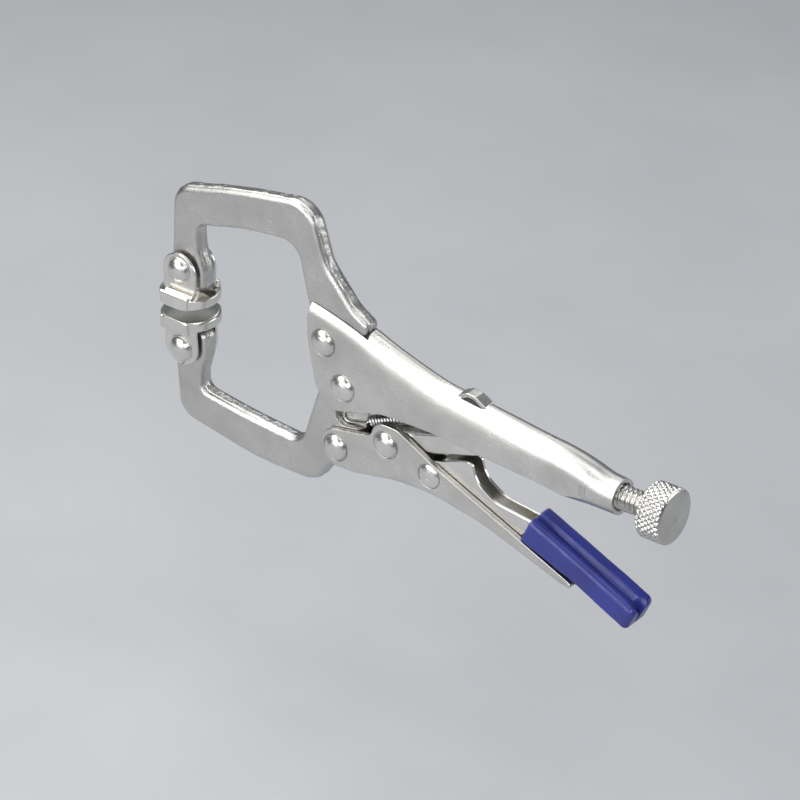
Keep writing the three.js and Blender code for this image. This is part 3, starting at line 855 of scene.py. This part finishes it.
# ---------------------------------------------------------------- spring
def tube(name, path, radius, sides=12):
    path = np.asarray(path, float)
    tangents = np.gradient(path, axis=0)
    tangents /= np.linalg.norm(tangents, axis=1)[:, None]
    side = np.cross(tangents[0], (0, 0, 1))
    side /= np.linalg.norm(side)
    rings = []
    for point, tangent in zip(path, tangents):
        side = side - tangent * (side @ tangent)
        side /= np.linalg.norm(side)
        other = np.cross(tangent, side)
        angles = np.arange(sides) * 2 * math.pi / sides
        rings.append([point + radius * (math.cos(a) * side + math.sin(a) * other) for a in angles])
    return skin(name, rings)


def coil_spring():
    lower = np.array([107.6, 0.0, -27.5])
    upper = np.array([157.6, 0.0, -5.9])
    axis = (upper - lower) / np.linalg.norm(upper - lower)
    across = np.array([0.0, 1.0, 0.0])
    lift = np.cross(axis, across)
    wire, radius, pitch = 0.6, 2.45, 1.85
    coil_length = 40.0
    turns = coil_length / pitch
    path = []
    # The lower hook comes out of the jaw's hole and round below the coil.
    hook = [(HOOK_HOLE[0], 3.0, HOOK_HOLE[1]), (93.2, 0.4, -26.5), (92.0, -0.95, -27.6), (91.8, -0.95, -30.0),
            (93.6, -0.95, -31.9), (98.4, -0.95, -31.0), (103.2, -0.9, -30.0), (105.8, -0.6, -28.3)]
    first = lower + across * radius
    control = [np.array(p) for p in hook] + [first]
    for i in range(len(control) - 1):
        for t in np.linspace(0, 1, 9)[:-1]:
            before = control[max(i - 1, 0)]
            after = control[min(i + 2, len(control) - 1)]
            a, b = control[i], control[i + 1]
            m0, m1 = (b - before) / 2, (after - a) / 2
            path.append((2 * t**3 - 3 * t**2 + 1) * a + (t**3 - 2 * t**2 + t) * m0
                        + (3 * t**2 - 2 * t**3) * b + (t**3 - t**2) * m1)
    steps = int(turns * 22)
    for k in range(steps + 1):
        angle = 2 * math.pi * turns * k / steps
        path.append(lower + axis * (coil_length * k / steps)
                    + radius * (math.cos(angle) * across + math.sin(angle) * lift))
    # The coil ends in a straight leg inside the body.
    last = path[-1]
    for share in np.linspace(0.1, 1, 12):
        straight = lower + axis * (coil_length + 12.5 * share)
        path.append(last * (1 - ease(share * 2)) + straight * ease(share * 2)
                    if share < 0.5 else straight)
    made = tube("coil_spring", path, wire, 10)
    smooth(made, 60, weighted=False)
    made.data.materials.append(WIRE)
    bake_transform(made)
    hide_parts("return_spring")
    return made


# ---------------------------------------------------------------- rivets
def rivet(name, centre, half, head, rise, seed, body, node, stepped=False):
    """A peened rivet: two domes with hammered middles on one shank."""
    sides = 64
    shank = 3.2
    seat = half - SEAT + 0.02
    rise = rise + SEAT
    radii = list(np.linspace(0.12, 0.97, 20)) + [0.99, 1.0]

    def dome(share, angle, side):
        inner = min(1.0, share / 0.9) if stepped else share
        height = rise * (1 - inner ** 2.0) ** 0.5
        if stepped and share > 0.89:
            height = 0.95
        groove = 0.08 * math.exp(-((share - 0.62) / 0.05) ** 2)
        across, up = share * math.cos(angle), share * math.sin(angle)
        place = Vector((across * 2.2 + seed * 3.1, up * 2.2, side * 4.0))
        rough = noise.noise(place) * 0.12 + noise.noise(place * 2.6) * 0.03
        hammered = math.exp(-(share / 0.45) ** 2)
        off_centre = math.hypot(across - 0.06, up + 0.05)
        dimple = 0.0 if stepped else 0.5 * math.exp(-(off_centre / 0.11) ** 2)
        return max(0.7, height - groove - dimple + rough * (0.3 + hammered))

    rings = []
    angles = np.arange(sides) * 2 * math.pi / sides
    for side in (-1, 1):
        part = []
        for share in radii:
            ring = []
            for angle in angles:
                height = dome(share, angle, side) if share < 0.985 else 0.62 if share < 1 else 0.45
                edge = 1 + 0.012 * noise.noise(Vector((math.cos(angle) * 1.5, math.sin(angle) * 1.5, seed)))
                r = head * share * edge
                ring.append((centre[0] + r * math.cos(angle), side * (seat + height),
                             centre[1] + r * math.sin(angle)))
            part.append(ring)
        for r in (head * 0.995, shank):
            part.append([(centre[0] + r * math.cos(a), side * seat, centre[1] + r * math.sin(a))
                         for a in angles])
        rings.extend(part if side < 0 else part[::-1])
    made = skin(name, rings)
    return dress(smooth(made, 40, weighted=False), RIVET_NICKEL, body, "rivet_steel", node)


# ---------------------------------------------------------------- swivel pads
def pad(name, flip, offset, body, node):
    """A stamped dish with two thick straight lips; a pair of ears rises just inside the lips."""
    radius, rim, wall, flat = 14.6, 5.0, 1.5, 12.6
    sides = 120
    profile = [(0.2, 0.0), (radius - 1.9, 0.0)]
    profile += [(radius - 1.9 + 1.6 * math.sin(a), 1.6 * (1 - math.cos(a))) for a in np.linspace(0.2, 1.4, 6)]
    profile += [(radius - 0.1, rim - 0.7), (radius - 0.25, rim - 0.2), (radius - 0.6, rim)]
    profile += [(radius - wall + 0.4, rim), (radius - wall + 0.05, rim - 0.3), (radius - wall - 0.1, 2.6),
                (radius - wall - 1.2, 1.7), (0.2, 1.6)]
    rings = [np.column_stack([circle((0, 0), r, sides), np.full(sides, z)]) for r, z in profile]
    dish = skin(name, rings)
    trim = [(-20, -1), (20, -1), (20, 40), (-20, 40)]
    carve(dish, slab("trim", trim, flat), "INTERSECT")
    # The press leaves a flat facet at each corner between lip and round rim.
    for quarter in (-1, 1):
        for side in (-1, 1):
            away = np.array([0.66 * quarter, 0.75 * side])
            away /= np.linalg.norm(away)
            near, far = away * 13.95, away * 20
            along = np.array([-away[1], away[0]])
            rows = []
            for z in (-2, 9):
                rows.append([(*(near + along * 9), z), (*(far + along * 9), z),
                             (*(far - along * 9), z), (*(near - along * 9), z)])
            carve(dish, skin("facet", rows))

    def lip(side):
        section = [
            (flat, 0.35, 0.8), (flat, 6.9, 1.2), (10.4, 6.9, 0.9), (10.1, 4.5, 0.5), (9.2, 4.4, 0.3),
            (9.0, 5.7, 0.5), (EAR_OUT + 0.1, 6.1, 0.5), (EAR_OUT, 12), (EAR_IN, 12), (EAR_IN, 4.2, 1.4),
            (11.0, 2.9, 1.0), (11.0, 0.35, 0.4)]
        points, _ = rounded(section, turn_step=0.25, spacing=3.0)
        rows = []
        for x, shrink in ((-8.2, 0.35), (-8.1, 0.15), (-7.85, 0.0), (7.85, 0.0), (8.1, 0.15), (8.2, 0.35)):
            inset = points - outward(points) * shrink
            rows.append([(x, side * y, z) for y, z in inset])
        return skin("lip", rows)

    top = PAD_EYE + 8.6
    ear = [(-9.2, 5.8, 1.2, 0.45), (9.2, 5.8, 1.2, 0.45), (10.3, top, 9.9, 0.45), (-10.3, top, 9.9, 0.45)]
    for side in (-1, 1):
        carve(dish, lip(side), "UNION")
        middle_y = side * (EAR_IN + EAR_OUT) / 2
        thick = (EAR_OUT - EAR_IN) / 2
        carve(dish, slab("ear", ear, thick, y_middle=middle_y, steps=4, turn_step=0.09), "UNION")
    carve(dish, pin((0, PAD_EYE), RIVET_HOLE, -20, 20))
    for vertex in dish.data.vertices:
        x, y, z = vertex.co
        vertex.co = (x, y * flip, z * flip + offset * MM)
    dish.data.update()
    return dress(smooth(dish, 30), BRIGHT_NICKEL, body, "pad_steel", node)


# ---------------------------------------------------------------- assembly
upper_arm()
lower_jaw()
pressed_body()
bush()
main_handle()
link_bar()
trigger_lever()
vinyl_grip()
turned_screw()
screw_tip()
coil_spring()

rivet("rivet_arm", ARM_RIVET, FRONT_HALF, 6.4, 3.0, 1, "body", "fixed_arm_rivet")
rivet("rivet_jaw", JAW_PIVOT, FRONT_HALF, 6.4, 3.0, 2, "body", "jaw_pivot_rivet")
rivet("rivet_handle", HANDLE_PIVOT, FRONT_HALF, 6.4, 3.0, 3, "jaw", "handle_pivot_rivet")
rivet("rivet_link", LINK_PIVOT, FRONT_HALF, 6.3, 2.9, 4, "handle", "link_pivot_rivet")
rivet("rivet_lever", LEVER_PIVOT, FRONT_HALF, 5.7, 1.7, 5, "handle", "lever_pivot_rivet")
rivet("rivet_upper_pad", UPPER_PAD_PIVOT, EAR_OUT, 6.8, 3.3, 6, "upper_pad_swivel", "upper_pad_rivet",
      stepped=True)
rivet("rivet_lower_pad", LOWER_PAD_PIVOT, EAR_OUT, 6.8, 3.3, 7, "lower_pad_swivel", "lower_pad_rivet",
      stepped=True)
pad("stamped_upper_pad", 1, 0.0, "upper_pad_swivel", "upper_pad")
pad("stamped_lower_pad", -1, -PAD_GAP, "lower_pad_swivel", "lower_pad")

# ---------------------------------------------------------------- stage, light and camera
# The tool is held clear of the floor, by enough for the handle to swing fully open.
floor_z = cad_low.z - FLOOR_DROP * MM
floor_mesh = bpy.data.meshes.new("floor")
reach = 3.0
floor_mesh.from_pydata([(-reach, -reach, 0), (reach, -reach, 0), (reach, reach, 0), (-reach, reach, 0)], [],
                       [(0, 1, 2, 3)])
floor = bpy.data.objects.new("floor", floor_mesh)
floor.location.z = floor_z
floor_mesh.materials.append(floor_paper("pale_floor"))
bpy.context.scene.collection.objects.link(floor)

centre = (cad_low + cad_high) / 2


def softbox(name, direction, distance, size, power, colour=(1, 1, 1), along=(0, 0, 1)):
    """A rectangular lamp that faces the tool; its second size runs along the given direction."""
    light = bpy.data.lights.new(name, "AREA")
    light.shape = "RECTANGLE"
    light.size, light.size_y = size
    light.energy = power
    light.color = colour
    lamp = bpy.data.objects.new(name, light)
    way = Vector(direction).normalized()
    run = Vector(along)
    run = (run - way * run.dot(way)).normalized()
    across = run.cross(way)
    lamp.location = centre + way * distance
    lamp.rotation_mode = "QUATERNION"
    lamp.rotation_quaternion = Matrix((across, run, way)).transposed().to_quaternion()
    bpy.context.scene.collection.objects.link(lamp)


softbox("ridge_light", (-0.532, -0.45, 0.8), 1.2, (0.9, 2.9), 29, (1.0, 0.99, 0.97), along=(0, 1, 0))
softbox("rim_right", (0.75, 0.62, 0.22), 1.4, (0.9, 0.6), 4)
softbox("tail_top", (-0.19, 0.68, 0.65), 0.96, (0.5, 0.4), 0.9)
softbox("tail_over", (0.24, -0.02, 0.9), 0.95, (0.45, 0.45), 2.0)
softbox("front_small", (0.42, -0.85, 0.36), 1.5, (0.45, 0.45), 4)
softbox("tail_pool", (0.62, -0.52, 0.6), 0.75, (0.3, 0.3), 0.9, (1.0, 0.99, 0.97))
softbox("front_fill", (-0.17, -0.975, 0.16), 1.9, (1.5, 0.7), 4.2, (0.97, 0.98, 1.0))

world = bpy.data.worlds.new("studio")
world.use_nodes = True
world.node_tree.nodes["Background"].inputs[0].default_value = (0.5, 0.54, 0.6, 1)
world.node_tree.nodes["Background"].inputs[1].default_value = 0.3
bpy.context.scene.world = world
bpy.context.scene.view_settings.view_transform = "Standard"

camera_data = bpy.data.cameras.new("camera")
camera_data.lens = 186.3
camera_data.sensor_width = 36.0
camera_data.clip_start = 0.05
camera_data.clip_end = 20
camera = bpy.data.objects.new("camera", camera_data)
azimuth, elevation, distance = math.radians(38.0), math.radians(30.2), 1.92
back = Vector((math.sin(azimuth) * math.cos(elevation), -math.cos(azimuth) * math.cos(elevation),
               math.sin(elevation)))
target = Vector((0.0913, 0.0409, -0.0411))
camera.location = target + back * distance
camera.rotation_mode = "QUATERNION"
camera.rotation_quaternion = back.to_track_quat("Z", "Y")
bpy.context.scene.collection.objects.link(camera)
bpy.context.scene.camera = camera
